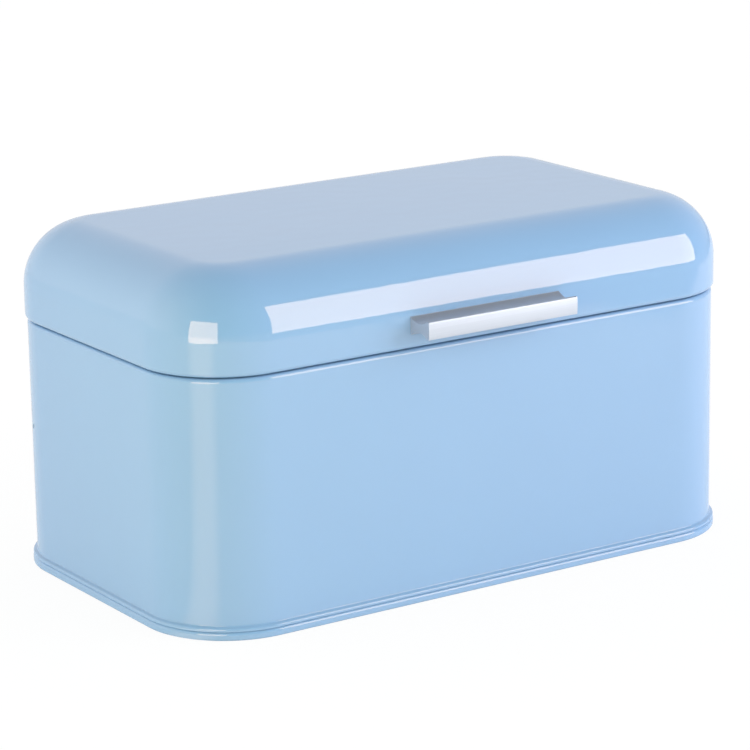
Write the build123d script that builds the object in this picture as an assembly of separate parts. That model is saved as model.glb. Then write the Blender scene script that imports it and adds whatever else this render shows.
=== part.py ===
from build123d import *
import os
from math import cos, radians, sin

# Bread box of coated sheet steel: a straight tub with rounded corners, a lid with
# a large round edge that swings up on two riveted hinges at the back, and an
# aluminium bar handle. Millimetres, +Z up, front towards -Y. The finished pieces
# are moved so that the origin lies below the middle of the whole object.

# Tub and lid, outside
box_width = 420.0
box_depth = 248.0
corner_radius = 56.0
tub_height = 162.4
lid_height = 61.2
lid_gap = 1.0
lid_edge_radius = 41.0
lid_overhang = 1.4
sheet = 0.6
flat_fit = 0.05

# Tub's shoulder, and the neck inside it that the lid closes over
shoulder_radius = 3.5
neck_height = 9.0
neck_bend_radius = 1.2
neck_clearance = 1.2
neck_bead_width = 3.0
neck_bead_drop = 2.2
neck_bead_radius = 1.35

# Lid's lower edge, rolled inward
hem_width = 5.2
hem_height = 3.2
hem_outer_radius = 3.0
hem_inner_radius = 1.2

# Seam at the foot of the tub: the wall's lip on the base panel's rolled rim
rim_height = 4.2
rim_reach = 2.8
rim_top_radius = 1.9
rim_foot_radius = 1.3
rim_overlap = 2.2
lip_height = 4.6
lip_setback = 0.2
lip_slope_height = 2.3
lip_radius = 3.5
lip_corner_radius = 0.6
lip_bend_radius = 0.8

# Base panel, recessed inside the seam, with a raised middle that stiffens it
panel_recess = 9.0
panel_bend_radius = 1.0
panel_border = 17.0
panel_step = 1.2
panel_step_run = 3.0

# Vent holes in a row round the back
vent_radius = 1.5
vent_height = 93.0
vent_pitch = 45.2
vents_each_side = 5

# Hinges
hinge_spread = 220.0
hinge_length = 42.0
hinge_open_angle = 105.0
leaf_thickness = 1.0
leaf_height = 16.0
leaf_corner_radius = 3.0
leaf_jog_height = 2.0
leaf_notch_gap = 0.4
pin_radius = 1.25
pin_fit = 0.08
pin_end_play = 0.3
pin_head_radius = 2.0
pin_head_height = 0.8
pin_head_chamfer = 0.25
side_knuckle_length = 10.0
knuckle_gap = 0.3
knuckle_slit = 0.35
stop_reach = 4.6
stop_gap = 0.1

# Rivets of the hinges
rivet_radius = 1.5
rivet_head_radius = 2.9
rivet_head_height = 1.3
rivet_tail_radius = 2.4
rivet_tail_height = 0.9
rivet_spacing = 26.0
rivet_edge_distance = 5.0

# Handle bar and what fastens it
handle_length = 112.0
handle_depth = 20.0
handle_height = 11.2
handle_rise = 9.1
handle_back_flange = 1.6
handle_front_flange = 2.4
handle_groove_depth = 2.7
handle_groove_radius = 2.4
handle_edge_radius = 0.4
screw_end_distance = 8.0
screw_radius = 1.75
screw_bite = 8.0
screw_head_radius = 3.5
screw_head_height = 2.6
screw_head_rounding = 1.2
recess_width = 0.8
recess_length = 3.8
recess_depth = 1.4
tapped_hole_spare = 2.0
washer_radius = 4.0
washer_thickness = 0.5

# Places worked out from the sizes
back_face = box_depth / 2
lid_bottom = tub_height + lid_gap
lid_top = lid_bottom + lid_height
lid_face = back_face + lid_overhang
bore_radius = pin_radius + pin_fit
knuckle_radius = bore_radius + leaf_thickness
hinge_axis_y = lid_face + knuckle_radius
hinge_axis_z = tub_height + lid_gap / 2
middle_knuckle_length = hinge_length - 2 * (side_knuckle_length + knuckle_gap)
tub_rivet_z = hinge_axis_z - leaf_height + rivet_edge_distance
lid_rivet_z = hinge_axis_z + leaf_height - rivet_edge_distance
handle_z = lid_bottom + handle_rise + handle_height / 2
screw_spacing = handle_length - 2 * screw_end_distance
lip_bottom = rim_height + flat_fit
lip_top = lip_bottom + lip_height
neck_inset = hem_width - lid_overhang + neck_clearance
neck_top = tub_height + neck_height
sheet_drill = 8 * sheet
leaf_drill = 8 * leaf_thickness
notch_reach = 8 * knuckle_radius


def bent_sheet(points, radii, side, thickness=sheet):
    """Section of bent sheet: a line rounded at its bends, with the metal on one side."""
    line = FilletPolyline(*points, radius=radii)
    return make_face(offset(line, amount=thickness, side=side, closed=True).edges())


def carried_round(section, width, depth, corner):
    """Carry an upright section round a rounded rectangle. Its x is the way outward."""
    upright = Plane.XZ * Pos(corner, 0) * section
    bend = revolve(upright, Axis.Z, 90)
    run_x = width - 2 * corner
    run_y = depth - 2 * corner
    centres = [(1, 1, run_y), (-1, 1, run_x), (-1, -1, run_y), (1, -1, run_x)]
    ring = Part()
    for turn, (side_x, side_y, run) in enumerate(centres):
        place = Pos(side_x * run_x / 2, side_y * run_y / 2) * Rot(0, 0, 90 * turn)
        ring += place * bend
        ring += place * extrude(upright, amount=run, dir=(0, -1, 0))
    return ring


def flat_middle(inset, width, depth, corner, lower_z):
    """Flat sheet that closes a carried section, this far inside its outline."""
    outline = RectangleRounded(width - 2 * inset, depth - 2 * inset, corner - inset)
    return Pos(0, 0, lower_z) * extrude(outline, amount=sheet)


def along_back(distance):
    """Point on the tub's outline, this far along it from the middle of the back.

    Returns x, y and the direction of the wall's outward face there, in degrees.
    """
    way = 1 if distance >= 0 else -1
    left = abs(distance)
    run_x = box_width / 2 - corner_radius
    run_y = box_depth / 2 - corner_radius
    bend = radians(90) * corner_radius
    if left <= run_x:
        return way * left, back_face, 90
    if left <= run_x + bend:
        turned = (left - run_x) / corner_radius
        x = run_x + corner_radius * sin(turned)
        y = run_y + corner_radius * cos(turned)
        facing = 90 - turned / radians(1)
        return way * x, y, facing if way > 0 else 180 - facing
    y = run_y - (left - run_x - bend)
    return way * box_width / 2, y, 0 if way > 0 else 180


def cross_drill(radius, depth):
    """Round cutter along Y, centred on the origin."""
    return Rot(90, 0, 0) * Cylinder(radius, depth)


def make_tub_wall():
    """Wall of the tub with its lip at the foot, and its shoulder, neck and rolled bead."""
    lip_reach = rim_reach - lip_setback
    lip_end = rim_reach - rim_overlap
    points = [
        (lip_end, lip_bottom),
        (lip_reach, lip_bottom),
        (lip_reach, lip_top - lip_slope_height),
        (0, lip_top),
        (0, tub_height),
        (-neck_inset, tub_height),
        (-neck_inset, neck_top),
        (-neck_inset - neck_bead_width, neck_top),
        (-neck_inset - neck_bead_width, neck_top - neck_bead_drop),
    ]
    radii = [
        lip_corner_radius,
        lip_radius,
        lip_bend_radius,
        shoulder_radius,
        neck_bend_radius,
        neck_bead_radius,
        neck_bead_radius,
    ]
    section = bent_sheet(points, radii, Side.LEFT)
    wall = carried_round(section, box_width, box_depth, corner_radius)
    for step in range(-vents_each_side, vents_each_side + 1):
        x, y, facing = along_back(step * vent_pitch)
        cutter = Rot(0, 0, facing - 90) * cross_drill(vent_radius, sheet_drill)
        wall -= Pos(x, y, vent_height) * cutter
    for x in rivet_places():
        wall -= Pos(x, back_face, tub_rivet_z) * cross_drill(rivet_radius + flat_fit, sheet_drill)
    return wall


def make_base_panel():
    """Pressed base: rolled rim under the wall's lip, upstand inside the wall, raised middle."""
    upstand = -2 * sheet - flat_fit
    step_start = upstand - panel_border
    step_end = step_start - panel_step_run
    middle = step_end - panel_border / 2
    points = [
        (rim_reach - rim_overlap, rim_height),
        (rim_reach, rim_height),
        (rim_reach, 0),
        (upstand, 0),
        (upstand, panel_recess),
        (step_start, panel_recess),
        (step_end, panel_recess + panel_step),
        (middle, panel_recess + panel_step),
    ]
    radii = [
        rim_top_radius,
        rim_foot_radius,
        panel_bend_radius,
        panel_bend_radius,
        panel_step_run,
        panel_step_run,
    ]
    section = bent_sheet(points, radii, Side.RIGHT)
    rim = carried_round(section, box_width, box_depth, corner_radius)
    floor_z = panel_recess + panel_step
    return rim + flat_middle(-middle, box_width, box_depth, corner_radius, floor_z)


def make_lid_shell():
    """Drawn lid: flat top, large round edge, and a lower edge rolled inward."""
    points = [
        (-lid_edge_radius - sheet, lid_top),
        (0, lid_top),
        (0, lid_bottom),
        (-hem_width, lid_bottom),
        (-hem_width, lid_bottom + hem_height),
    ]
    radii = [lid_edge_radius, hem_outer_radius, hem_inner_radius]
    section = bent_sheet(points, radii, Side.RIGHT)
    outline = (
        box_width + 2 * lid_overhang,
        box_depth + 2 * lid_overhang,
        corner_radius + lid_overhang,
    )
    shell = carried_round(section, *outline)
    shell += flat_middle(lid_edge_radius + sheet, *outline, lid_top - sheet)
    for x in rivet_places():
        shell -= Pos(x, lid_face, lid_rivet_z) * cross_drill(rivet_radius + flat_fit, sheet_drill)
    for x in screw_places():
        shell -= Pos(x, -lid_face, handle_z) * cross_drill(screw_radius + flat_fit, sheet_drill)
    return shell


def rivet_places():
    """Places along X of the hinges' rivets, from left to right."""
    return [
        hinge_x + rivet_x
        for hinge_x in (-hinge_spread / 2, hinge_spread / 2)
        for rivet_x in (-rivet_spacing / 2, rivet_spacing / 2)
    ]


def screw_places():
    """Places along X of the handle's screws, from left to right."""
    return [-screw_spacing / 2, screw_spacing / 2]


def knuckle_section(slit_side):
    """Curl of a hinge leaf round its pin, open at a slit below (-1) or above (1)."""
    curl = Circle(knuckle_radius) - Circle(bore_radius)
    slit = Pos(knuckle_slit / 2 - bore_radius, slit_side * knuckle_radius / 2)
    return curl - slit * Rectangle(knuckle_slit, knuckle_radius)


def stop_section():
    """Lug on the tub's middle knuckle that the lid's open leaf comes down on.

    Its root is inside the curl, so that the two are one piece of metal.
    """
    top = bore_radius - stop_gap
    root = bore_radius + leaf_thickness / 4
    lug = Pos((root + stop_reach) / 2, top - leaf_thickness / 2)
    lug *= Rectangle(stop_reach - root, leaf_thickness)
    return Rot(0, 0, 90 - hinge_open_angle) * lug


def swept_leaf(section):
    """Run a hinge section, drawn about its axis, along the hinge's length."""
    return extrude(Plane.YZ * section, amount=hinge_length / 2, both=True)


def finish_leaf(leaf, rivet_z, free_end):
    """Round a leaf's two free corners, at its lowest (0) or highest (-1) end, and drill it."""
    corners = leaf.edges().filter_by(Axis.Y).group_by(Axis.Z)[free_end]
    leaf = fillet(corners, leaf_corner_radius)
    for x in (-rivet_spacing / 2, rivet_spacing / 2):
        hole = cross_drill(rivet_radius + flat_fit, leaf_drill)
        leaf -= Pos(x, -knuckle_radius, rivet_z) * hole
    return leaf


def make_tub_leaf():
    """Leaf on the tub: jogged out to the lid's face, with the middle knuckle and its stop."""
    wall = -knuckle_radius - lid_overhang
    jog_top = -knuckle_radius - leaf_notch_gap - leaf_thickness
    points = [
        (wall, -leaf_height),
        (wall, jog_top - leaf_jog_height),
        (-knuckle_radius, jog_top),
        (-knuckle_radius, 0),
    ]
    strip = bent_sheet(points, [leaf_thickness, leaf_thickness], Side.RIGHT, leaf_thickness)
    leaf = swept_leaf(strip + knuckle_section(-1) + stop_section())
    notch_z = -knuckle_radius - leaf_notch_gap
    notch_length = (hinge_length - middle_knuckle_length) / 2
    notch_side = (Align.MIN, Align.CENTER, Align.MIN)
    notch = Box(notch_length, notch_reach, notch_reach, align=notch_side)
    leaf -= Pos(middle_knuckle_length / 2, 0, notch_z) * notch
    leaf -= Pos(-hinge_length / 2, 0, notch_z) * notch
    return finish_leaf(leaf, tub_rivet_z - hinge_axis_z, 0)


def make_lid_leaf():
    """Leaf on the lid, flat, with the two side knuckles."""
    points = [(-knuckle_radius, 0), (-knuckle_radius, leaf_height)]
    strip = make_face(
        Polyline(
            *points,
            (leaf_thickness - knuckle_radius, leaf_height),
            (leaf_thickness - knuckle_radius, 0),
            close=True,
        )
    )
    leaf = swept_leaf(strip + knuckle_section(1))
    notch_z = knuckle_radius + leaf_notch_gap
    notch_length = middle_knuckle_length + 2 * knuckle_gap
    notch_side = (Align.CENTER, Align.CENTER, Align.MAX)
    notch = Box(notch_length, notch_reach, notch_reach, align=notch_side)
    leaf -= Pos(0, 0, notch_z) * notch
    return finish_leaf(leaf, lid_rivet_z - hinge_axis_z, -1)


def make_pin():
    """Hinge pin along X with a peened head at each end, about its own axis."""
    half = hinge_length / 2 + pin_end_play
    pin = Cylinder(pin_radius, 2 * half + pin_head_height)
    head = Cylinder(pin_head_radius, pin_head_height)
    head = chamfer(head.edges().group_by(Axis.Z)[-1], pin_head_chamfer)
    pin += Pos(0, 0, half + pin_head_height / 2) * head
    pin += Pos(0, 0, -half - pin_head_height / 2) * Rot(180, 0, 0) * head
    return Rot(0, 90, 0) * pin


def make_rivet():
    """Rivet along Y: domed head outside at +Y, seated at y = 0, and a flat tail inside."""
    grip = leaf_thickness + sheet
    tail_end = -grip - rivet_tail_height
    dome = rivet_head_radius**2 + rivet_head_height**2
    dome_radius = dome / (2 * rivet_head_height)
    half_way = rivet_head_radius / 2
    half_way_z = rivet_head_height - dome_radius + (dome_radius**2 - half_way**2) ** 0.5
    outline = Polyline(
        (rivet_head_radius, 0),
        (rivet_radius, 0),
        (rivet_radius, -grip),
        (rivet_tail_radius, -grip),
        (rivet_tail_radius, tail_end),
        (0, tail_end),
        (0, rivet_head_height),
    )
    head = ThreePointArc((0, rivet_head_height), (half_way, half_way_z), (rivet_head_radius, 0))
    half = make_face(outline.edges() + head.edges())
    return Rot(-90, 0, 0) * revolve(Plane.XZ * half, Axis.Z)


def make_handle_bar():
    """Extruded bar with a finger groove along its top and its underside."""
    section = Rectangle(handle_depth, handle_height)
    section = fillet(section.vertices(), handle_edge_radius)
    groove_length = handle_depth - handle_back_flange - handle_front_flange
    groove = RectangleRounded(groove_length, 2 * handle_groove_depth, handle_groove_radius)
    groove_y = (handle_back_flange - handle_front_flange) / -2
    for side in (-1, 1):
        section -= Pos(groove_y, side * handle_height / 2) * groove
    centre_y = -lid_face - handle_depth / 2
    length = extrude(Plane.YZ * section, amount=handle_length / 2, both=True)
    bar = Pos(0, centre_y, handle_z) * length
    hole_depth = screw_bite + tapped_hole_spare
    for x in screw_places():
        hole = Pos(x, -lid_face - hole_depth / 2, handle_z)
        bar -= hole * cross_drill(screw_radius + flat_fit, hole_depth)
    return bar


def make_screw():
    """Pan head screw along Y, its seat at y = 0, its head towards +Y and its shank to -Y."""
    head = Pos(0, 0, screw_head_height / 2) * Cylinder(screw_head_radius, screw_head_height)
    head = fillet(head.edges().group_by(Axis.Z)[-1], screw_head_rounding)
    recess = Box(recess_length, recess_width, 2 * recess_depth)
    recess += Box(recess_width, recess_length, 2 * recess_depth)
    head -= Pos(0, 0, screw_head_height) * recess
    length = washer_thickness + sheet + screw_bite
    shank = Pos(0, 0, -length / 2) * Cylinder(screw_radius, length)
    return Rot(-90, 0, 0) * (head + shank)


def make_washer():
    """Washer along Y, its outer face at y = 0."""
    ring = Circle(washer_radius) - Circle(screw_radius + flat_fit)
    return Rot(-90, 0, 0) * extrude(ring, amount=-washer_thickness)


def build():
    """Make every piece in its place, as a dictionary from the piece's name to its solids."""
    pieces = {
        "tub_wall": make_tub_wall(),
        "base_panel": make_base_panel(),
        "lid_shell": make_lid_shell(),
        "handle_bar": make_handle_bar(),
    }
    screw_seat = -lid_face + sheet + washer_thickness
    for side, x in zip(("left", "right"), screw_places()):
        place = Pos(x, screw_seat, handle_z)
        pieces[side + "_handle_screw"] = place * make_screw()
        pieces[side + "_handle_washer"] = place * make_washer()
    for side, x in (("left", -hinge_spread / 2), ("right", hinge_spread / 2)):
        axis = Pos(x, hinge_axis_y, hinge_axis_z)
        pieces[side + "_hinge_tub_leaf"] = axis * make_tub_leaf()
        pieces[side + "_hinge_lid_leaf"] = axis * make_lid_leaf()
        pieces[side + "_hinge_pin"] = axis * make_pin()
        tub_seat = back_face + leaf_thickness
        lid_seat = lid_face + leaf_thickness
        for part, y, z in (("tub", tub_seat, tub_rivet_z), ("lid", lid_seat, lid_rivet_z)):
            pair = [
                Pos(x + way * rivet_spacing / 2, y, z) * make_rivet()
                for way in (-1, 1)
            ]
            pieces[side + "_hinge_" + part + "_rivets"] = Part() + pair
    return pieces


def export(pieces):
    """Write one STEP file for each piece, with the origin below the middle of the whole."""
    boxes = [piece.bounding_box() for piece in pieces.values()]
    middle_x = (min(b.min.X for b in boxes) + max(b.max.X for b in boxes)) / 2
    middle_y = (min(b.min.Y for b in boxes) + max(b.max.Y for b in boxes)) / 2
    os.makedirs("parts", exist_ok=True)
    for name, piece in pieces.items():
        export_step(Pos(-middle_x, -middle_y) * piece, "parts/" + name + ".step")
    print("tub's middle at y =", round(-middle_y, 4))
    print("hinge axis at y =", round(hinge_axis_y - middle_y, 4), "z =", round(hinge_axis_z, 4))


export(build())
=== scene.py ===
"""Looks, studio and camera for a bread box of enamelled sheet steel.

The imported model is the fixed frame. The pressed shells and the handle bar are
modelled again here with smooth bends, and every piece gets its own finish.
Lengths are in metres, +Z is up and the front faces -Y.
"""

import logging
from dataclasses import dataclass, field
from enum import Enum
from math import cos, hypot, pi, radians, sin, sqrt, tan

import bmesh
import bpy
from mathutils import Matrix, Vector


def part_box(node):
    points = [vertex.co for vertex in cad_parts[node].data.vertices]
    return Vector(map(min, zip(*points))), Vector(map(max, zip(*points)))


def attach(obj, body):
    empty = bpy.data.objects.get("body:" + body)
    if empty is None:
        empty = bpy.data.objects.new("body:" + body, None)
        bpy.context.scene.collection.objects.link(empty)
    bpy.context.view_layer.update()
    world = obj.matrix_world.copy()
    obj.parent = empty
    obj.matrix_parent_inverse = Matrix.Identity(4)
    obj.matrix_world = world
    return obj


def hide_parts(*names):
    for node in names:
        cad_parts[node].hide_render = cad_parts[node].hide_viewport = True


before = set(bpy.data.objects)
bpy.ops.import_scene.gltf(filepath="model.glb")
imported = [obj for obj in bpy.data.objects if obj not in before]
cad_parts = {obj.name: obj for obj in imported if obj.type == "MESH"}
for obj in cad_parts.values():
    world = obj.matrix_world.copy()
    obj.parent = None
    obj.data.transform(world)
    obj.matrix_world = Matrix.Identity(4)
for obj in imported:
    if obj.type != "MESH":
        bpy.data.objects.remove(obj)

log = logging.getLogger("bread_box")

MM = 0.001
UM = 0.000001
WELD_DISTANCE = 0.5 * UM
SHARP_ANGLE = radians(38)
HOLE_STEPS = 40
WHITE = "#FFFFFF"
PHOTO_PIXELS = 750
SENSOR_WIDTH_MM = 36.0

# A Mix node has a set of sockets for each kind of value, all under the same names, so
# they are chosen by number.
COLOUR_A = 6
COLOUR_B = 7
MIXED_COLOUR = 2
NUMBER_A = 2
NUMBER_B = 3

Point = tuple[float, float]
Socket = bpy.types.NodeSocket


class Body(Enum):
    """Bodies of the model that a piece can ride on."""

    TUB = "tub"
    LID = "lid"


class Slot(Enum):
    """Names of the record's material slots. No piece here takes its finish from them."""

    ENAMEL = "enamel"
    HANDLE = "handle_aluminium"


def linear(code: str) -> tuple[float, float, float, float]:
    """Turn an sRGB hex colour into linear light.

    Args:
        code: Colour such as "#9FC5E4".

    Returns:
        Red, green, blue and an alpha of 1.
    """
    shares = [int(code[i : i + 2], 16) / 255 for i in (1, 3, 5)]
    red, green, blue = (
        s / 12.92 if s <= 0.04045 else ((s + 0.055) / 1.055) ** 2.4 for s in shares
    )
    return (red, green, blue, 1.0)


def per_metre(size_mm: float) -> float:
    """Scale of a pattern, on coordinates in metres, whose features have this size."""
    return 1 / (size_mm * MM)


def add_node(
    tree: bpy.types.NodeTree,
    kind: str,
    settings: dict[str, object] | None = None,
    sockets: dict[str | int, object] | None = None,
) -> bpy.types.Node:
    """Add a node with its settings, and fill or link its input sockets.

    Args:
        tree: Node tree that gets the node.
        kind: Type of the node.
        settings: Properties of the node.
        sockets: Values for its inputs. An output socket is linked, anything else is set.

    Returns:
        The new node.
    """
    node = tree.nodes.new(kind)
    for name, value in (settings or {}).items():
        setattr(node, name, value)
    for name, value in (sockets or {}).items():
        if isinstance(value, bpy.types.NodeSocket):
            tree.links.new(value, node.inputs[name])
        else:
            node.inputs[name].default_value = value
    return node


def new_material(name: str) -> tuple[bpy.types.Material, bpy.types.NodeTree]:
    """Make an empty node material.

    Args:
        name: Name of the material.

    Returns:
        The material and its node tree.
    """
    material = bpy.data.materials.new(name)
    material.use_nodes = True
    material.node_tree.nodes.clear()
    return material, material.node_tree


@dataclass(frozen=True)
class GlossEnamel:
    """Stoved gloss enamel, sprayed on deep-drawn sheet steel."""

    name: str
    colour: str
    thick_colour: str
    cloud_mm: float = 90.0
    peel_mm: float = 2.6
    peel_height_um: float = 1.2
    wave_mm: float = 70.0
    wave_height_um: float = 240.0
    ripple_mm: float = 13.0
    ripple_height_um: float = 80.0
    roughness_low: float = 0.03
    roughness_high: float = 0.042
    ior: float = 1.5
    gloss: float = 1.0
    gloss_colour: str = "#FFD3A9"

    def build(self) -> bpy.types.Material:
        """Build the enamel.

        The gloss mirrors the lamps with crisp edges. The sheet under it is not quite
        flat, which makes a long reflection waver, the flow of the paint ripples its
        edges, and the fine peel of the spray breaks up small highlights. Thicker paint
        is a shade deeper. The photograph holds back its blue where it is bright, so a
        head-on reflection is a little warm there, while a grazing one is white.

        Returns:
            The enamel's material.
        """
        material, tree = new_material(self.name)
        place = add_node(tree, "ShaderNodeTexCoord").outputs["Object"]
        cloud = add_node(
            tree,
            "ShaderNodeTexNoise",
            sockets={"Vector": place, "Scale": per_metre(self.cloud_mm), "Detail": 2.0},
        )
        colour = add_node(
            tree,
            "ShaderNodeMix",
            {"data_type": "RGBA"},
            {
                "Factor": cloud.outputs["Fac"],
                COLOUR_A: linear(self.colour),
                COLOUR_B: linear(self.thick_colour),
            },
        )
        peel = add_node(
            tree,
            "ShaderNodeTexNoise",
            sockets={"Vector": place, "Scale": per_metre(self.peel_mm), "Detail": 1.0},
        )
        roughness = add_node(
            tree,
            "ShaderNodeMapRange",
            sockets={
                "Value": peel.outputs["Fac"],
                "To Min": self.roughness_low,
                "To Max": self.roughness_high,
            },
        )
        wave = add_node(
            tree,
            "ShaderNodeTexNoise",
            sockets={"Vector": place, "Scale": per_metre(self.wave_mm), "Detail": 0.0},
        )
        sheet_bump = add_node(
            tree,
            "ShaderNodeBump",
            sockets={
                "Distance": self.wave_height_um * UM,
                "Height": wave.outputs["Fac"],
            },
        )
        ripple = add_node(
            tree,
            "ShaderNodeTexNoise",
            sockets={"Vector": place, "Scale": per_metre(self.ripple_mm), "Detail": 0.0},
        )
        ripple_bump = add_node(
            tree,
            "ShaderNodeBump",
            sockets={
                "Distance": self.ripple_height_um * UM,
                "Height": ripple.outputs["Fac"],
                "Normal": sheet_bump.outputs["Normal"],
            },
        )
        paint_bump = add_node(
            tree,
            "ShaderNodeBump",
            sockets={
                "Distance": self.peel_height_um * UM,
                "Height": peel.outputs["Fac"],
                "Normal": ripple_bump.outputs["Normal"],
            },
        )
        shader = add_node(
            tree,
            "ShaderNodeBsdfPrincipled",
            sockets={
                "Base Color": colour.outputs[MIXED_COLOUR],
                "Roughness": roughness.outputs["Result"],
                "IOR": self.ior,
                "Specular IOR Level": self.gloss,
                "Specular Tint": linear(self.gloss_colour),
                "Normal": paint_bump.outputs["Normal"],
            },
        )
        surface = {"Surface": shader.outputs["BSDF"]}
        add_node(tree, "ShaderNodeOutputMaterial", sockets=surface)
        return material


@dataclass(frozen=True)
class DrawnMetal:
    """Bare or anodised metal with fine lines that run along X from drawing or rolling."""

    name: str
    colour: str
    line_colour: str
    roughness_low: float
    roughness_high: float
    line_mm: float
    line_length_mm: float
    line_height_um: float
    end_roughness: float = 0.0
    metallic: float = 1.0
    # Part of the lines' noise that the roughness runs over.
    noise_low: float = 0.3
    noise_high: float = 0.7
    # How squarely a face looks along X where it begins to be a sawn end, and where it is one.
    sawn_from: float = 0.8
    sawn_full: float = 0.95

    def build(self) -> bpy.types.Material:
        """Build the metal.

        Long fine lines, a little darker and rougher than the metal between them,
        spread a lamp's reflection across the lines and leave it tight along them.
        Ends that were sawn across X can be more matt, which leaves them evenly grey.
        The clear layer of anodising scatters some light, which makes the metal paler
        where it mirrors nothing bright: that share is what metallic leaves.

        Returns:
            The metal's material.
        """
        material, tree = new_material(self.name)
        coordinates = add_node(tree, "ShaderNodeTexCoord")
        along = per_metre(self.line_length_mm)
        across = per_metre(self.line_mm)
        stretched = add_node(
            tree,
            "ShaderNodeMapping",
            sockets={"Vector": coordinates.outputs["Object"], "Scale": (along, across, across)},
        )
        lines = add_node(
            tree,
            "ShaderNodeTexNoise",
            sockets={"Vector": stretched.outputs["Vector"], "Scale": 1.0, "Detail": 3.0},
        )
        colour = add_node(
            tree,
            "ShaderNodeMix",
            {"data_type": "RGBA"},
            {
                "Factor": lines.outputs["Fac"],
                COLOUR_A: linear(self.colour),
                COLOUR_B: linear(self.line_colour),
            },
        )
        roughness = add_node(
            tree,
            "ShaderNodeMapRange",
            sockets={
                "Value": lines.outputs["Fac"],
                "From Min": self.noise_low,
                "From Max": self.noise_high,
                "To Min": self.roughness_low,
                "To Max": self.roughness_high,
            },
        )
        facing = add_node(
            tree, "ShaderNodeSeparateXYZ", sockets={0: coordinates.outputs["Normal"]}
        )
        across_x = add_node(
            tree, "ShaderNodeMath", {"operation": "ABSOLUTE"}, {0: facing.outputs["X"]}
        )
        sawn = add_node(
            tree,
            "ShaderNodeMapRange",
            sockets={
                "Value": across_x.outputs[0],
                "From Min": self.sawn_from,
                "From Max": self.sawn_full,
                "To Max": self.end_roughness,
            },
        )
        matt = add_node(
            tree,
            "ShaderNodeMath",
            {"operation": "MAXIMUM"},
            {0: roughness.outputs["Result"], 1: sawn.outputs["Result"]},
        )
        bump = add_node(
            tree,
            "ShaderNodeBump",
            sockets={
                "Distance": self.line_height_um * UM,
                "Height": lines.outputs["Fac"],
            },
        )
        shader = add_node(
            tree,
            "ShaderNodeBsdfPrincipled",
            sockets={
                "Base Color": colour.outputs[MIXED_COLOUR],
                "Metallic": self.metallic,
                "Roughness": matt.outputs[0],
                "Normal": bump.outputs["Normal"],
            },
        )
        surface = {"Surface": shader.outputs["BSDF"]}
        add_node(tree, "ShaderNodeOutputMaterial", sockets=surface)
        return material


# Full gloss on an even pale blue: the softboxes show in it with crisp edges.
SKY_ENAMEL = GlossEnamel("gloss_enamel_sky_blue", "#92B5DA", "#90B2D7")
# Extruded and satin anodised: a soft pale sheen along the bar, and matt sawn ends. The
# lines of the die are really about 0.1 mm apart, and are drawn coarser so that they show.
SATIN_ANODISED = DrawnMetal(
    "satin_anodised_aluminium",
    "#D1D5DE",
    "#C5C9D3",
    roughness_low=0.48,
    roughness_high=0.54,
    line_mm=0.5,
    line_length_mm=300.0,
    line_height_um=0.8,
    end_roughness=0.55,
    metallic=0.88,
)
# Bright plating on rolled steel, nickel on the hinges and zinc on the fasteners: a cool
# shine with streaks. Rolling leaves lines 0.05 mm apart, which are drawn coarser to show.
PLATED_STEEL = DrawnMetal(
    "bright_plated_steel",
    "#C9CBCD",
    "#B4B7BB",
    roughness_low=0.22,
    roughness_high=0.38,
    line_mm=0.6,
    line_length_mm=3.0,
    line_height_um=3.0,
)
# Plain aluminium rivets: soft and bright, with short marks, drawn coarser in the same way.
RIVET_ALUMINIUM = DrawnMetal(
    "turned_aluminium",
    "#D6D7DA",
    "#C6C8CC",
    roughness_low=0.25,
    roughness_high=0.36,
    line_mm=0.4,
    line_length_mm=1.2,
    line_height_um=2.0,
)


@dataclass(frozen=True)
class Outline:
    """Rounded rectangle, seen from above, that a section of sheet is carried round."""

    width: float
    depth: float
    corner: float
    middle_y: float
    corner_steps: int = 28

    @property
    def run_x(self) -> float:
        """Length of the straight run along X."""
        return self.width - 2 * self.corner

    @property
    def run_y(self) -> float:
        """Length of the straight run along Y."""
        return self.depth - 2 * self.corner

    def start(self, point: Point) -> Vector:
        """Work out where a section's point lies at the right end of the front.

        Args:
            point: Distance outward from the outline, and height.

        Returns:
            The point's place.
        """
        outward, up = point
        front = self.middle_y - self.depth / 2
        return Vector((self.run_x / 2, front - outward, up))


@dataclass(frozen=True)
class Bend:
    """A bend of a section: its point before rounding, its radius and its steps."""

    point: Point
    radius: float
    steps: int = 6


@dataclass(frozen=True)
class Round:
    """A rounded corner: its point, how far from it the round starts, and its steps."""

    point: Point
    reach: float
    steps: int


def round_corner(
    mesh: bmesh.types.BMesh, corner: bmesh.types.BMVert, reach: float, steps: int
) -> None:
    """Round a corner of a line or of a flat face.

    Args:
        mesh: Mesh that holds the corner.
        corner: Vertex that is rounded.
        reach: How far from the vertex the round starts, along both sides.
        steps: Number of steps in the round.
    """
    bmesh.ops.bevel(
        mesh,
        geom=[corner],
        offset=reach,
        offset_type="OFFSET",
        segments=steps,
        profile=0.5,
        affect="VERTICES",
        clamp_overlap=False,
        material=-1,
    )


def rounded_wire(mesh: bmesh.types.BMesh, bends: list[Bend], places: list[Vector]) -> None:
    """Draw a line through places and round each inner corner.

    Args:
        mesh: Empty mesh that gets the line.
        bends: What each place is rounded with. The two ends have a radius of 0.
        places: The bends' places.
    """
    verts = [mesh.verts.new(place) for place in places]
    for start, end in zip(verts, verts[1:]):
        mesh.edges.new((start, end))
    for index, bend in enumerate(bends):
        if bend.radius == 0:
            continue
        before = places[index] - places[index - 1]
        after = places[index + 1] - places[index]
        reach = bend.radius * tan(before.angle(after) / 2)
        round_corner(mesh, verts[index], reach, bend.steps)


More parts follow.
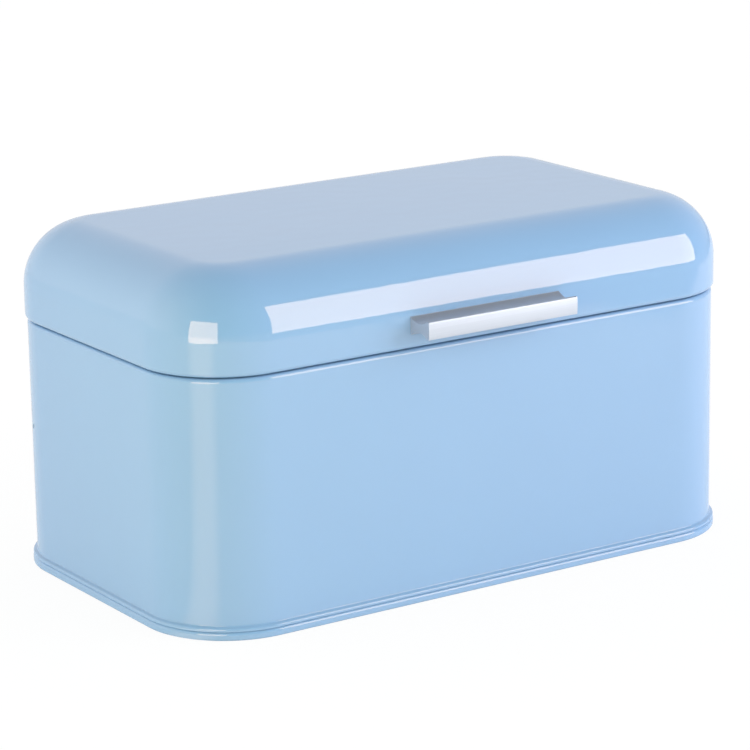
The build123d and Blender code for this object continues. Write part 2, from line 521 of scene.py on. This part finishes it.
def carry_round(mesh: bmesh.types.BMesh, outline: Outline) -> None:
    """Carry the line in a mesh once round an outline: a spin at each corner, then a pull.

    Args:
        mesh: Mesh that holds only the line, at the right end of the front.
        outline: What it is carried round.
    """
    edges = mesh.edges[:]
    for side_x, side_y, way, run in (
        (1, -1, Vector((0, 1, 0)), outline.run_y),
        (1, 1, Vector((-1, 0, 0)), outline.run_x),
        (-1, 1, Vector((0, -1, 0)), outline.run_y),
        (-1, -1, Vector((1, 0, 0)), outline.run_x),
    ):
        centre_x = side_x * outline.run_x / 2
        centre_y = outline.middle_y + side_y * outline.run_y / 2
        turned = bmesh.ops.spin(
            mesh,
            geom=edges,
            cent=(centre_x, centre_y, 0),
            axis=(0, 0, 1),
            dvec=(0, 0, 0),
            angle=pi / 2,
            steps=outline.corner_steps,
            use_merge=False,
            use_duplicate=False,
        )
        last = [g for g in turned["geom_last"] if isinstance(g, bmesh.types.BMEdge)]
        pulled = bmesh.ops.extrude_edge_only(mesh, edges=last)["geom"]
        ends = {g for g in pulled if isinstance(g, bmesh.types.BMVert)}
        bmesh.ops.translate(mesh, verts=list(ends), vec=way * run)
        edges = [
            g
            for g in pulled
            if isinstance(g, bmesh.types.BMEdge) and ends.issuperset(g.verts)
        ]
    bmesh.ops.remove_doubles(mesh, verts=mesh.verts[:], dist=WELD_DISTANCE)


def close_flat(mesh: bmesh.types.BMesh, height: float) -> None:
    """Close an open loop with one flat face.

    Args:
        mesh: Mesh with an open loop.
        height: Height of the loop.
    """
    loop = [
        edge
        for edge in mesh.edges
        if edge.is_boundary and all(abs(v.co.z - height) < WELD_DISTANCE for v in edge.verts)
    ]
    bmesh.ops.edgeloop_fill(mesh, edges=loop, mat_nr=0, use_smooth=True)


def thicken(mesh: bmesh.types.BMesh, thickness: float) -> None:
    """Turn faces outwards and give them thickness inwards.

    Args:
        mesh: Mesh of a sheet's outer face.
        thickness: Thickness of the sheet.
    """
    bmesh.ops.recalc_face_normals(mesh, faces=mesh.faces[:])
    bmesh.ops.solidify(mesh, geom=mesh.faces[:], thickness=thickness)
    bmesh.ops.dissolve_degenerate(mesh, dist=UM, edges=mesh.edges[:])


def pressed_sheet(
    bends: list[Bend],
    outline: Outline,
    thickness: float,
    closed_at: float | None = None,
) -> bmesh.types.BMesh:
    """Model a piece of pressed sheet from the section of its outer face.

    Args:
        bends: Section of the outer face.
        outline: What the section is carried round.
        thickness: Thickness of the sheet.
        closed_at: Height of the open loop that a flat middle closes, if any.

    Returns:
        The piece as a closed mesh.
    """
    mesh = bmesh.new()
    rounded_wire(mesh, bends, [outline.start(bend.point) for bend in bends])
    carry_round(mesh, outline)
    if closed_at is not None:
        close_flat(mesh, closed_at)
    thicken(mesh, thickness)
    return mesh


def shade_smooth(mesh: bmesh.types.BMesh) -> None:
    """Shade faces smooth, and keep the edges of sheet and of bars sharp.

    Args:
        mesh: Mesh that is shaded.
    """
    for face in mesh.faces:
        face.smooth = True
    for edge in mesh.edges:
        edge.smooth = edge.calc_face_angle(0) < SHARP_ANGLE


def settle(
    mesh: bmesh.types.BMesh,
    name: str,
    node: str,
    body: Body,
    finish: bpy.types.Material,
) -> bpy.types.Object:
    """Turn a finished mesh into a piece that stands for a node of the model.

    Args:
        mesh: The piece's mesh, in place. It is freed.
        name: The piece's name.
        node: Node that the piece replaces.
        body: Body that it rides on.
        finish: Its material.

    Returns:
        The new object.
    """
    shade_smooth(mesh)
    data = bpy.data.meshes.new(name)
    mesh.to_mesh(data)
    mesh.free()
    data.materials.append(finish)
    piece = bpy.data.objects.new(name, data)
    bpy.context.scene.collection.objects.link(piece)
    weigh = piece.modifiers.new("flat faces stay flat", "WEIGHTED_NORMAL")
    weigh.keep_sharp = True
    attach(piece, body.value)
    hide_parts(node)
    log.info("%s stands for %s: %d faces", name, node, len(data.polygons))
    return piece


def dress_node(name: str, finish: bpy.types.Material) -> None:
    """Give a node of the model another finish.

    Args:
        name: Name of the node.
        finish: Its new material.
    """
    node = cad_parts[name]
    for slot in node.material_slots:
        slot.material = finish
    log.info("%s has %s", name, finish.name)


def cut_round_holes(
    piece: bpy.types.Object, places: list[Matrix], radius: float, depth: float
) -> None:
    """Cut round holes through a piece.

    Args:
        piece: Piece that is cut.
        places: Place of each hole, with its Z along the hole.
        radius: Radius of the holes.
        depth: Length of each cutter, centred on its place.
    """
    cutters = bmesh.new()
    for place in places:
        bmesh.ops.create_cone(
            cutters,
            cap_ends=True,
            cap_tris=False,
            segments=HOLE_STEPS,
            radius1=radius,
            radius2=radius,
            depth=depth,
            matrix=place,
        )
    data = bpy.data.meshes.new("hole_cutters")
    cutters.to_mesh(data)
    cutters.free()
    tool = bpy.data.objects.new("hole_cutters", data)
    bpy.context.scene.collection.objects.link(tool)
    cut = piece.modifiers.new("holes", "BOOLEAN")
    cut.operation = "DIFFERENCE"
    cut.solver = "EXACT"
    cut.object = tool
    # The drilled mesh gets its normals weighted afresh, so they are left out here.
    weigh = piece.modifiers[0]
    weigh.show_viewport = False
    bpy.context.view_layer.update()
    graph = bpy.context.evaluated_depsgraph_get()
    drilled = bpy.data.meshes.new_from_object(piece.evaluated_get(graph))
    drilled.name = piece.name
    piece.modifiers.remove(cut)
    weigh.show_viewport = True
    whole = piece.data
    piece.data = drilled
    bpy.data.meshes.remove(whole)
    bpy.data.objects.remove(tool)
    bpy.data.meshes.remove(data)
    log.info("%s has %d holes", piece.name, len(places))


@dataclass
class Tub:
    """The tub: its wall with the seam at its foot and the neck at its top, and its base."""

    width: float = 420 * MM
    depth: float = 248 * MM
    corner: float = 56 * MM
    height: float = 162.4 * MM
    sheet: float = 0.6 * MM
    shoulder_radius: float = 2.6 * MM
    neck_inset: float = 5.0 * MM
    neck_height: float = 9.0 * MM
    neck_radius: float = 1.2 * MM
    bead_width: float = 3.0 * MM
    bead_drop: float = 2.2 * MM
    bead_radius: float = 1.35 * MM
    rim_height: float = 5.4 * MM
    rim_round: float = 2.1 * MM
    rim_foot_round: float = 1.3 * MM
    rim_reach: float = 2.8 * MM
    rim_overlap: float = 2.2 * MM
    lip_fit: float = 0.05 * MM
    lip_height: float = 3.0 * MM
    lip_round: float = 1.2 * MM
    lip_fold_radius: float = 0.6 * MM
    lip_root_radius: float = 0.8 * MM
    lip_setback: float = 0.2 * MM
    lip_slope_height: float = 0.9 * MM
    panel_recess: float = 9.0 * MM
    panel_bend_radius: float = 1.0 * MM
    panel_border: float = 17.0 * MM
    panel_step: float = 1.2 * MM
    panel_step_run: float = 3.0 * MM
    vent_radius: float = 1.5 * MM
    vent_height: float = 93.0 * MM
    vent_pitch: float = 45.2 * MM
    vents_each_side: int = 5
    middle_y: float = field(init=False)

    def __post_init__(self) -> None:
        """Take the tub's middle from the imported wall."""
        low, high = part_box("tub_wall")
        self.middle_y = (low.y + high.y) / 2

    @property
    def outline(self) -> Outline:
        """Outline of the wall's outer face."""
        return Outline(self.width, self.depth, self.corner, self.middle_y)

    def build_wall(self, finish: bpy.types.Material) -> None:
        """Model the wall: lip on the base's rim, shoulder, neck, rolled bead and vents.

        Args:
            finish: The wall's material.
        """
        lip_reach = self.rim_reach - self.lip_setback
        lip_bottom = self.rim_height + self.lip_fit
        lip_top = lip_bottom + self.lip_height
        neck_top = self.height + self.neck_height
        bead_end = -self.neck_inset - self.bead_width
        bends = [
            Bend((self.rim_reach - self.rim_overlap, lip_bottom), 0),
            Bend((lip_reach, lip_bottom), self.lip_fold_radius),
            Bend((lip_reach, lip_top - self.lip_slope_height), self.lip_round),
            Bend((0, lip_top), self.lip_root_radius),
            Bend((0, self.height), self.shoulder_radius, steps=10),
            Bend((-self.neck_inset, self.height), self.neck_radius),
            Bend((-self.neck_inset, neck_top), self.bead_radius),
            Bend((bead_end, neck_top), self.bead_radius),
            Bend((bead_end, neck_top - self.bead_drop), 0),
        ]
        mesh = pressed_sheet(bends, self.outline, self.sheet)
        wall = settle(mesh, "enamelled_tub_wall", "tub_wall", Body.TUB, finish)
        cutter_length = 8 * self.sheet
        cut_round_holes(wall, self.vent_places(), self.vent_radius, cutter_length)

    def build_base(self, finish: bpy.types.Material) -> None:
        """Model the base: rolled rim, upstand inside the wall and a raised middle.

        Args:
            finish: The base's material.
        """
        upstand = -2 * self.sheet - self.lip_fit
        step_start = upstand - self.panel_border
        step_end = step_start - self.panel_step_run
        middle = step_end - self.panel_border / 2
        floor = self.panel_recess + self.panel_step
        bends = [
            Bend((self.rim_reach - self.rim_overlap, self.rim_height), 0),
            Bend((self.rim_reach, self.rim_height), self.rim_round, steps=8),
            Bend((self.rim_reach, 0), self.rim_foot_round, steps=8),
            Bend((upstand, 0), self.panel_bend_radius),
            Bend((upstand, self.panel_recess), self.panel_bend_radius),
            Bend((step_start, self.panel_recess), self.panel_step_run),
            Bend((step_end, floor), self.panel_step_run),
            Bend((middle, floor), 0),
        ]
        mesh = pressed_sheet(bends, self.outline, self.sheet, closed_at=floor)
        settle(mesh, "enamelled_base_panel", "base_panel", Body.TUB, finish)

    def vent_places(self) -> list[Matrix]:
        """Work out the vents' places, in a row round the back from corner to corner.

        Returns:
            The places from left to right, each with its Z through the wall.
        """
        places = []
        for step in range(-self.vents_each_side, self.vents_each_side + 1):
            way = 1 if step >= 0 else -1
            left = abs(step) * self.vent_pitch
            turned = max(0.0, (left - self.outline.run_x / 2) / self.corner)
            straight = min(left, self.outline.run_x / 2)
            x = way * (straight + self.corner * sin(turned))
            y = self.middle_y + self.outline.run_y / 2 + self.corner * cos(turned)
            facing = Matrix.Rotation(-way * turned, 4, "Z") @ Matrix.Rotation(pi / 2, 4, "X")
            places.append(Matrix.Translation((x, y, self.vent_height)) @ facing)
        return places


@dataclass
class Lid:
    """The drawn lid: a flat top, a large round edge and a lower edge rolled inwards."""

    width: float = 422.8 * MM
    depth: float = 250.8 * MM
    corner: float = 57.4 * MM
    sheet: float = 0.6 * MM
    edge_radius: float = 41.0 * MM
    hem_width: float = 5.2 * MM
    hem_height: float = 3.2 * MM
    hem_outer_radius: float = 3.0 * MM
    hem_inner_radius: float = 1.2 * MM
    middle_y: float = field(init=False)
    bottom: float = field(init=False)
    top: float = field(init=False)

    def __post_init__(self) -> None:
        """Take the lid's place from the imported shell."""
        low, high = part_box("lid_shell")
        self.middle_y = (low.y + high.y) / 2
        self.bottom = low.z
        self.top = high.z

    def build(self, finish: bpy.types.Material) -> None:
        """Model the shell of the lid.

        Args:
            finish: The lid's material.
        """
        outline = Outline(self.width, self.depth, self.corner, self.middle_y)
        bends = [
            Bend((-self.edge_radius - self.sheet, self.top), 0),
            Bend((0, self.top), self.edge_radius, steps=32),
            Bend((0, self.bottom), self.hem_outer_radius, steps=10),
            Bend((-self.hem_width, self.bottom), self.hem_inner_radius),
            Bend((-self.hem_width, self.bottom + self.hem_height), 0),
        ]
        mesh = pressed_sheet(bends, outline, self.sheet, closed_at=self.top)
        settle(mesh, "enamelled_lid_shell", "lid_shell", Body.LID, finish)


@dataclass
class Handle:
    """The handle: an extruded bar, and the screws and washers that hold it."""

    back_flange: float = 0.7 * MM
    front_flange: float = 2.4 * MM
    scoop_depth: float = 2.7 * MM
    front_bow: float = 0.3 * MM
    # How far from their corners the outer edges and the scoops' edges begin to round.
    edge_reach: float = 0.4 * MM
    scoop_edge_reach: float = 0.2 * MM
    end_bevel: float = 0.3 * MM
    low: Vector = field(init=False)
    high: Vector = field(init=False)

    def __post_init__(self) -> None:
        """Take the bar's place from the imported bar."""
        self.low, self.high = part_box("handle_bar")

    def section_rounds(self) -> list[Round]:
        """Draw the bar's end as rounded corners, each at its place along Y and its height.

        The finger scoops above and below are the round of a wide V, whose corner lies
        1 + sqrt(2) times as deep as the scoop. The front is bowed a little, as the
        round of a flat V twice as high as its bow.

        Returns:
            The corners in order round the bar's end, from the middle of its front.
        """
        front, back = self.low.y, self.high.y
        edge_front = front + self.front_bow
        scoop_front = front + self.front_flange
        scoop_back = back - self.back_flange
        middle = (scoop_front + scoop_back) / 2
        corner_depth = self.scoop_depth * (1 + sqrt(2))
        leg = hypot((scoop_back - scoop_front) / 2, corner_depth)
        half_height = (self.high.z - self.low.z) / 2
        front_leg = hypot(2 * self.front_bow, half_height)
        tip = (front - self.front_bow, self.low.z + half_height)
        scoop_reach = leg - 2 * self.scoop_edge_reach
        rounds = [Round(tip, front_leg - 2 * self.edge_reach, steps=16)]
        for edge, way in ((self.high.z, 1), (self.low.z, -1)):
            half = [
                Round((edge_front, edge), self.edge_reach, steps=4),
                Round((scoop_front, edge), self.scoop_edge_reach, steps=3),
                Round((middle, edge - way * corner_depth), scoop_reach, steps=20),
                Round((scoop_back, edge), self.scoop_edge_reach, steps=3),
                Round((back, edge), self.edge_reach / 2, steps=3),
            ]
            rounds += half if way > 0 else reversed(half)
        return rounds

    def build_bar(self, finish: bpy.types.Material) -> None:
        """Model the bar: a scooped section, pulled to its length, with broken end edges.

        Args:
            finish: The bar's material.
        """
        mesh = bmesh.new()
        rounds = self.section_rounds()
        places = [Vector((self.low.x, y, z)) for y, z in (each.point for each in rounds)]
        verts = [mesh.verts.new(place) for place in places]
        mesh.faces.new(verts)
        for vert, each in zip(verts, rounds):
            round_corner(mesh, vert, each.reach, each.steps)
        bmesh.ops.remove_doubles(mesh, verts=mesh.verts[:], dist=WELD_DISTANCE)
        pulled = bmesh.ops.extrude_face_region(mesh, geom=mesh.faces[:])["geom"]
        ends = [g for g in pulled if isinstance(g, bmesh.types.BMVert)]
        length = self.high.x - self.low.x
        bmesh.ops.translate(mesh, verts=ends, vec=(length, 0, 0))
        bmesh.ops.recalc_face_normals(mesh, faces=mesh.faces[:])
        rims = [
            edge
            for edge in mesh.edges
            if all(abs(v.co.x - edge.verts[0].co.x) < WELD_DISTANCE for v in edge.verts)
        ]
        bmesh.ops.bevel(
            mesh,
            geom=rims,
            offset=self.end_bevel,
            offset_type="OFFSET",
            segments=2,
            profile=0.5,
            affect="EDGES",
            clamp_overlap=True,
            material=-1,
        )
        settle(mesh, "anodised_handle_bar", "handle_bar", Body.LID, finish)

    def dress_fasteners(self, finish: bpy.types.Material) -> None:
        """Give the screws and washers inside the lid their finish.

        Args:
            finish: Their material.
        """
        for side in ("left", "right"):
            dress_node(side + "_handle_screw", finish)
            dress_node(side + "_handle_washer", finish)


@dataclass
class Hinges:
    """The two hinges at the back: leaves, pins and rivets."""

    sides: tuple[str, ...] = ("left", "right")

    def dress(self, steel: bpy.types.Material, aluminium: bpy.types.Material) -> None:
        """Dress the hinges.

        Args:
            steel: Material of leaves and pins.
            aluminium: Material of rivets.
        """
        for side in self.sides:
            for part in ("tub_leaf", "lid_leaf", "pin"):
                dress_node(side + "_hinge_" + part, steel)
            for part in ("tub_rivets", "lid_rivets"):
                dress_node(side + "_hinge_" + part, aluminium)


@dataclass
class Softbox:
    """A soft rectangular lamp on a stand.

    Its light and its reflection in the gloss are set apart, because the photograph
    holds back its highlights.
    """

    name: str
    target: Vector
    azimuth: float
    distance: float
    middle_z: float
    width: float
    height: float
    light: tuple[float, float, float]
    shine: tuple[float, float, float]
    turn: float = 0.0
    lean: float = 0.0
    twin_gap: float = 5.0 * MM

    @staticmethod
    def way_out(azimuth: float) -> Vector:
        """Level direction at an azimuth, which is 0 at the front and 90 at the right."""
        return Vector((sin(radians(azimuth)), -cos(radians(azimuth)), 0))

    def place(self) -> Matrix:
        """Work out the lamp's place: turned from its target and leaning to its right.

        Returns:
            The place, with the light going along -Z.
        """
        middle = self.target + self.way_out(self.azimuth) * self.distance
        middle.z = self.middle_z
        back = self.way_out(self.azimuth - self.turn)
        upright = back.to_track_quat("Z", "Y").to_matrix().to_4x4()
        leaning = Matrix.Rotation(-radians(self.lean), 4, "Z")
        return Matrix.Translation(middle) @ upright @ leaning

    def build_one(
        self, use: str, radiance: tuple[float, float, float], forward: float = 0.0
    ) -> bpy.types.Object:
        """Make the lamp for one use.

        Args:
            use: End of the lamp's name.
            radiance: Red, green and blue light that each of its points gives off.
            forward: How far in front of the lamp's place it stands.

        Returns:
            The lamp.
        """
        lamp = bpy.data.lights.new(self.name + use, "AREA")
        lamp.shape = "RECTANGLE"
        lamp.size = self.width
        lamp.size_y = self.height
        lamp.energy = pi * self.width * self.height
        lamp.color = radiance
        holder = bpy.data.objects.new(self.name + use, lamp)
        holder.matrix_world = self.place() @ Matrix.Translation((0, 0, -forward))
        holder.visible_camera = False
        bpy.context.scene.collection.objects.link(holder)
        return holder

    def build(self) -> None:
        """Make the lamp twice, one just before the other: its light, and what gloss mirrors."""
        self.build_one("_light", self.light).visible_glossy = False
        self.build_one("_shine", self.shine, self.twin_gap).visible_diffuse = False
        log.info("%s is at %s", self.name, tuple(self.place().translation))


@dataclass(frozen=True)
class RoomSides:
    """Brightness of a room's five sides, named as the camera sees them."""

    near: float
    far: float
    left: float
    right: float
    ceiling: float
    # Share of the direction over which two opposite sides blend, on both sides of 0.
    blend: float = 0.15

    def build(
        self, tree: bpy.types.NodeTree, across: Socket, away: Socket, squares: Socket
    ) -> Socket:
        """Blend the sides' brightness over the directions between them.

        Args:
            tree: Node tree of the world.
            across: Share of the direction that points to the right.
            away: Share of the direction that points away from the camera.
            squares: Squares of the direction's three shares.

        Returns:
            The brightness in the direction.
        """
        sides = []
        for share, low, high in ((across, self.left, self.right), (away, self.near, self.far)):
            side = add_node(
                tree,
                "ShaderNodeMapRange",
                sockets={
                    "Value": share,
                    "From Min": -self.blend,
                    "From Max": self.blend,
                    "To Min": low,
                    "To Max": high,
                },
            )
            sides.append(side)
        levels = add_node(
            tree,
            "ShaderNodeCombineXYZ",
            sockets={0: sides[0].outputs[0], 1: sides[1].outputs[0], 2: self.ceiling},
        )
        blend = add_node(
            tree,
            "ShaderNodeVectorMath",
            {"operation": "DOT_PRODUCT"},
            {0: levels.outputs[0], 1: squares},
        )
        return blend.outputs["Value"]


@dataclass
class Studio:
    """White studio: floor, room light, softboxes and camera."""

    floor_half: float = 30.0
    background_level: float = 1.0
    room_light: RoomSides = RoomSides(near=1.1, far=1.9, left=2.45, right=2.45, ceiling=0.0)
    room_mirrored: RoomSides = RoomSides(near=0.0, far=0.85, left=1.15, right=0.1, ceiling=0.0)
    # The floor's own glow, and the shares of it that the camera and the gloss see.
    paper_colour: str = "#F0F0F0"
    floor_glow: float = 1.02
    floor_glow_seen: float = 0.9
    floor_glow_mirrored: float = 0.35
    # The sheet of paper on the floor, and how much of its glow is left beyond its edge.
    paper_middle: Vector = field(default_factory=lambda: Vector((-5.49, 8.4, 0.0)))
    paper_radius: float = 10.82
    paper_blur: float = 0.06
    beyond_paper: float = 0.25
    # A painted pool of light: a glowing wedge on the floor with a soft edge, seen only by the
    # gloss.
    pool_start: Vector = field(default_factory=lambda: Vector((-154.0, -61.5, 0.0)) * MM)
    pool_azimuth: float = -57.5
    pool_core: float = 2.0
    pool_edge: float = 19.0
    painted_pool_glow: float = 2.6
    # Where the softboxes are turned to, from the tub's middle, and their brightness.
    front_target: Point = (0.0, -0.12)
    corner_target: Point = (-0.19, -0.105)
    right_light: tuple[float, float, float] = (1.45, 1.75, 2.0)
    right_shine: tuple[float, float, float] = (4.5, 4.5, 4.5)
    left_light: tuple[float, float, float] = (0.8, 1.5, 0.4)
    left_shine: tuple[float, float, float] = (4.3, 4.3, 4.3)
    # The photograph's camera, and the point between the box's sides that it looks at.
    camera_azimuth: float = -33.325
    camera_elevation: float = 14.811
    camera_roll: float = -0.965
    camera_distance: float = 2096.7 * MM
    focal_pixels: float = 3207.28
    target_x: float = 0.075 * MM
    target_z: float = 111.57 * MM
    clip_end: float = 100.0

    def build_world(self) -> None:
        """Light the room, with a white background for the camera and for glass.

        The room's sides are turned to the camera. The far side, which the lid's flat
        top mirrors, is white. The near side and the ceiling are dark where the gloss
        mirrors them, so the corner and the lid's round edge keep their full colour.
        """
        world = bpy.data.worlds.new("studio_room")
        world.use_nodes = True
        bpy.context.scene.world = world
        tree = world.node_tree
        tree.nodes.clear()
        path = add_node(tree, "ShaderNodeLightPath")
        white = add_node(
            tree,
            "ShaderNodeMath",
            {"operation": "MAXIMUM"},
            {0: path.outputs["Is Camera Ray"], 1: path.outputs["Is Transmission Ray"]},
        )
        way = add_node(
            tree,
            "ShaderNodeVectorRotate",
            {"rotation_type": "Z_AXIS"},
            {
                "Vector": add_node(tree, "ShaderNodeTexCoord").outputs["Generated"],
                "Angle": -radians(self.camera_azimuth),
            },
        )
        shares = add_node(tree, "ShaderNodeSeparateXYZ", sockets={0: way.outputs[0]})
        squares = add_node(
            tree,
            "ShaderNodeVectorMath",
            {"operation": "MULTIPLY"},
            {0: way.outputs[0], 1: way.outputs[0]},
        )
        parts = (shares.outputs["X"], shares.outputs["Y"], squares.outputs[0])
        room = add_node(
            tree,
            "ShaderNodeMix",
            {"data_type": "FLOAT"},
            {
                "Factor": path.outputs["Is Glossy Ray"],
                NUMBER_A: self.room_light.build(tree, *parts),
                NUMBER_B: self.room_mirrored.build(tree, *parts),
            },
        )
        level = add_node(
            tree,
            "ShaderNodeMix",
            {"data_type": "FLOAT"},
            {
                "Factor": white.outputs[0],
                NUMBER_A: room.outputs[0],
                NUMBER_B: self.background_level,
            },
        )
        glow = add_node(
            tree,
            "ShaderNodeBackground",
            sockets={"Color": linear(WHITE), "Strength": level.outputs[0]},
        )
        add_node(tree, "ShaderNodeOutputWorld", sockets={"Surface": glow.outputs[0]})

    def mark_paper(self, tree: bpy.types.NodeTree, spot: Socket, glossy: Socket) -> Socket:
        """Mark the round sheet of white paper, which the object stands on near its edge.

        Args:
            tree: Node tree of the floor.
            spot: Place on the floor.
            glossy: 1 for a mirrored ray.

        Returns:
            1 on the paper and for every ray that is not mirrored, less beyond its edge.
        """
        out = add_node(
            tree, "ShaderNodeVectorMath", {"operation": "DISTANCE"}, {0: spot, 1: self.paper_middle}
        )
        beyond = add_node(
            tree,
            "ShaderNodeMapRange",
            sockets={
                "Value": out.outputs["Value"],
                "From Min": self.paper_radius,
                "From Max": self.paper_radius + self.paper_blur,
                "To Max": 1.0 - self.beyond_paper,
            },
        )
        hidden = add_node(
            tree, "ShaderNodeMath", {"operation": "MULTIPLY"}, {0: beyond.outputs[0], 1: glossy}
        )
        shown = add_node(
            tree, "ShaderNodeMath", {"operation": "SUBTRACT"}, {0: 1.0, 1: hidden.outputs[0]}
        )
        return shown.outputs[0]

    def build_floor(self) -> None:
        """Lay a white floor that keeps a faint shadow of the object.

        A painted pool of light, a glow that only mirrored rays see, runs out on it
        from the box's corner in place of the left softbox's light. The gloss mirrors
        it as a painted upright band on the corner. The gloss mirrors the floor as white
        up to the edge of the paper, less than a metre in front, and as dim beyond it,
        where the glow takes the place of most of the light that the lamps give the floor.
        """
        mesh = bmesh.new()
        bmesh.ops.create_grid(mesh, x_segments=1, y_segments=1, size=self.floor_half)
        data = bpy.data.meshes.new("studio_floor")
        mesh.to_mesh(data)
        mesh.free()
        material, tree = new_material("matt_white_paper")
        path = add_node(tree, "ShaderNodeLightPath")
        white = add_node(
            tree,
            "ShaderNodeMath",
            {"operation": "MAXIMUM"},
            {0: path.outputs["Is Glossy Ray"], 1: path.outputs["Is Transmission Ray"]},
        )
        paper = add_node(
            tree, "ShaderNodeBsdfDiffuse", sockets={"Color": linear(self.paper_colour)}
        )
        spot = add_node(tree, "ShaderNodeTexCoord").outputs["Object"]
        paper_share = self.mark_paper(tree, spot, path.outputs["Is Glossy Ray"])
        from_start = add_node(
            tree, "ShaderNodeVectorMath", {"operation": "SUBTRACT"}, {0: spot, 1: self.pool_start}
        )
        way = add_node(
            tree, "ShaderNodeVectorMath", {"operation": "NORMALIZE"}, {0: from_start.outputs[0]}
        )
        along = add_node(
            tree,
            "ShaderNodeVectorMath",
            {"operation": "DOT_PRODUCT"},
            {0: way.outputs[0], 1: Softbox.way_out(self.pool_azimuth)},
        )
        # Painted pool of light: a soft wedge of extra floor glow that only mirrored rays get.
        pool = add_node(
            tree,
            "ShaderNodeMapRange",
            {"interpolation_type": "SMOOTHSTEP"},
            {
                "Value": along.outputs["Value"],
                "From Min": cos(radians(self.pool_edge)),
                "From Max": cos(radians(self.pool_core)),
                "To Max": self.painted_pool_glow,
            },
        )
        strength = add_node(
            tree,
            "ShaderNodeMath",
            {"operation": "MULTIPLY_ADD"},
            {0: path.outputs["Is Glossy Ray"], 1: pool.outputs[0], 2: self.floor_glow},
        )
        lit = add_node(
            tree,
            "ShaderNodeMath",
            {"operation": "MULTIPLY"},
            {0: strength.outputs[0], 1: paper_share},
        )
        glow = add_node(
            tree,
            "ShaderNodeEmission",
            sockets={"Color": linear(WHITE), "Strength": lit.outputs[0]},
        )
        reach = add_node(
            tree,
            "ShaderNodeMapRange",
            sockets={"Value": paper_share, "To Min": 1.0, "To Max": self.floor_glow_mirrored},
        )
        mirrored = add_node(
            tree,
            "ShaderNodeMath",
            {"operation": "MULTIPLY"},
            {0: white.outputs[0], 1: reach.outputs[0]},
        )
        share = add_node(
            tree,
            "ShaderNodeMix",
            {"data_type": "FLOAT"},
            {
                "Factor": path.outputs["Is Camera Ray"],
                NUMBER_A: mirrored.outputs[0],
                NUMBER_B: self.floor_glow_seen,
            },
        )
        both = add_node(
            tree,
            "ShaderNodeMixShader",
            sockets={0: share.outputs[0], 1: paper.outputs[0], 2: glow.outputs[0]},
        )
        add_node(tree, "ShaderNodeOutputMaterial", sockets={"Surface": both.outputs[0]})
        data.materials.append(material)
        floor = bpy.data.objects.new("studio_floor", data)
        bpy.context.scene.collection.objects.link(floor)

    def build_lamps(self, middle_y: float) -> None:
        """Set up the softboxes whose reflections the gloss shows.

        Args:
            middle_y: Place of the tub's middle along Y.
        """
        targets = (self.front_target, self.corner_target)
        front, corner = (Vector((x, middle_y + y, 0)) for x, y in targets)
        Softbox(
            "right_softbox",
            front,
            azimuth=49.8,
            distance=1.4135,
            middle_z=0.611,
            width=1.199,
            height=1.07,
            light=self.right_light,
            shine=self.right_shine,
            turn=29.6,
            lean=3.75,
        ).build()
        Softbox(
            "left_softbox",
            corner,
            azimuth=-55.0,
            distance=0.9,
            middle_z=0.305,
            width=0.585,
            height=0.59,
            light=self.left_light,
            shine=self.left_shine,
        ).build()

    def build_camera(self, middle_y: float) -> None:
        """Place the camera at the photograph's angle, with its lens and its slight roll.

        Args:
            middle_y: Place of the tub's middle along Y.
        """
        azimuth = radians(self.camera_azimuth)
        elevation = radians(self.camera_elevation)
        back = Vector(
            (
                sin(azimuth) * cos(elevation),
                -cos(azimuth) * cos(elevation),
                sin(elevation),
            )
        )
        target = Vector((self.target_x, middle_y, self.target_z))
        level = Vector((0, 0, 1)).cross(back).normalized()
        upright = back.cross(level)
        turn = Matrix((level, upright, back)).transposed().to_4x4()
        turn = turn @ Matrix.Rotation(radians(self.camera_roll), 4, "Z")
        lens = bpy.data.cameras.new("camera")
        lens.sensor_fit = "HORIZONTAL"
        lens.sensor_width = SENSOR_WIDTH_MM
        lens.lens = self.focal_pixels / PHOTO_PIXELS * SENSOR_WIDTH_MM
        lens.clip_end = self.clip_end
        camera = bpy.data.objects.new("camera", lens)
        camera.matrix_world = Matrix.Translation(target + back * self.camera_distance) @ turn
        bpy.context.scene.collection.objects.link(camera)
        bpy.context.scene.camera = camera

    def build(self, middle_y: float) -> None:
        """Build the whole studio round the object.

        Args:
            middle_y: Place of the tub's middle along Y.
        """
        self.build_world()
        self.build_floor()
        self.build_lamps(middle_y)
        self.build_camera(middle_y)
        bpy.context.scene.view_settings.view_transform = "Standard"


def main() -> None:
    """Build the object's looks, then the studio round it."""
    logging.basicConfig(level=logging.INFO, format="%(message)s")
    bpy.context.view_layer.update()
    enamel = SKY_ENAMEL.build()
    anodised = SATIN_ANODISED.build()
    plated = PLATED_STEEL.build()
    rivets = RIVET_ALUMINIUM.build()
    tub = Tub()
    tub.build_wall(enamel)
    tub.build_base(enamel)
    Lid().build(enamel)
    handle = Handle()
    handle.build_bar(anodised)
    handle.dress_fasteners(plated)
    Hinges().dress(plated, rivets)
    Studio().build(tub.middle_y)


if __name__ == "__main__":
    main()
